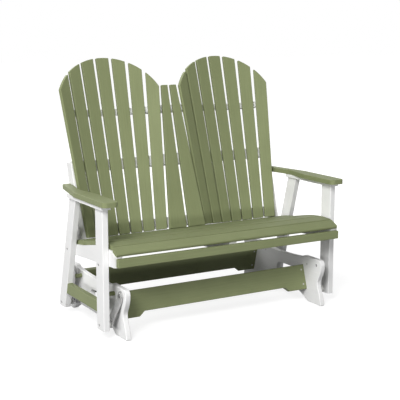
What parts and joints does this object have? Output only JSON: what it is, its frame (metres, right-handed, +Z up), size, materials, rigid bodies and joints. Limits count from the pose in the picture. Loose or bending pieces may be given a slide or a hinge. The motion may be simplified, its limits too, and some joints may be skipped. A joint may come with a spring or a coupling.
{
  "type": "double glider",
  "caption": "Double porch glider of plastic lumber with twin arched fan backs, slatted seat and armrests, hung by steel swing straps from a low shaped base.",
  "frame": {"origin": "middle of the footprint of the whole object, on the floor", "axes": "+X to the right seen from the front, +Y towards the back, +Z up"},
  "size_m": [1.296, 0.7436, 1.2141],
  "materials": {
    "green_board": "sage green plastic lumber with a faint lengthwise grain",
    "white_board": "white plastic lumber with a faint lengthwise grain",
    "steel": "plain grey steel straps, bolts and screws",
    "nylon": "white nylon bushes, washers and spacers"
  },
  "bodies": {
    "base": {"base_bolts": "steel", "base_screws": "steel", "base_side_left": "white_board", "base_side_right": "white_board", "front_stretcher": "green_board", "pivot_washers": "nylon", "rear_stretcher": "green_board", "stop_pegs": "green_board", "stretcher_cleats": "white_board"},
    "link_front_left": {"bushes_front_left": "nylon", "link_front_left": "steel"},
    "link_front_right": {"bushes_front_right": "nylon", "link_front_right": "steel"},
    "link_rear_left": {"bushes_rear_left": "nylon", "link_rear_left": "steel"},
    "link_rear_right": {"bushes_rear_right": "nylon", "link_rear_right": "steel"},
    "seat": {"apron": "green_board", "arm_cleats": "white_board", "arm_left": "green_board", "arm_right": "green_board", "back_slat_left_1": "green_board", "back_slat_left_2": "green_board", "back_slat_left_3": "green_board", "back_slat_left_4": "green_board", "back_slat_left_5": "green_board", "back_slat_left_6": "green_board", "back_slat_left_7": "green_board", "back_slat_right_1": "green_board", "back_slat_right_2": "green_board", "back_slat_right_3": "green_board", "back_slat_right_4": "green_board", "back_slat_right_5": "green_board", "back_slat_right_6": "green_board", "back_slat_right_7": "green_board", "back_upright_left": "white_board", "back_upright_right": "white_board", "filler_slat_left": "green_board", "filler_slat_right": "green_board", "front_post_left": "white_board", "front_post_right": "white_board", "lower_brace": "white_board", "middle_brace": "white_board", "pivot_spacers": "nylon", "post_bolts": "steel", "rear_post_left": "white_board", "rear_post_right": "white_board", "seat_rail_centre": "white_board", "seat_rail_left": "white_board", "seat_rail_right": "white_board", "seat_slat_1": "green_board", "seat_slat_2": "green_board", "seat_slat_3": "green_board", "seat_slat_4": "green_board", "seat_slat_5": "green_board", "seat_slat_6": "green_board", "seat_slat_7": "green_board", "side_rail_left": "green_board", "side_rail_right": "green_board", "upper_brace": "white_board"}
  },
  "joints": [
    {"name": "front_left_swing", "type": "hinge", "parent": "base", "child": "link_front_left", "pos_m": [-0.5518, -0.29385, 0.1995], "axis": [1, 0, 0], "range_deg": [-20, 16]},
    {"name": "front_right_swing", "type": "hinge", "parent": "base", "child": "link_front_right", "pos_m": [0.5518, -0.29385, 0.1995], "axis": [1, 0, 0], "range_deg": [-20, 16]},
    {"name": "rear_left_swing", "type": "hinge", "parent": "base", "child": "link_rear_left", "pos_m": [-0.5518, 0.22665, 0.2045], "axis": [1, 0, 0], "range_deg": [-20, 16]},
    {"name": "rear_right_swing", "type": "hinge", "parent": "base", "child": "link_rear_right", "pos_m": [0.5518, 0.22665, 0.2045], "axis": [1, 0, 0], "range_deg": [-20, 16]},
    {"name": "seat_tilt", "type": "hinge", "parent": "link_front_left", "child": "seat", "pos_m": [-0.5758, -0.23985, 0.05956], "axis": [1, 0, 0], "range_deg": [-19.5, 24]}
  ],
  "couplings": [
    {"joint": "seat_tilt", "follows": "front_left_swing", "ratio": -1.1875},
    {"joint": "front_right_swing", "follows": "front_left_swing", "ratio": 1},
    {"joint": "rear_left_swing", "follows": "front_left_swing", "ratio": 0.9694},
    {"joint": "rear_right_swing", "follows": "front_left_swing", "ratio": 0.9694}
  ]
}
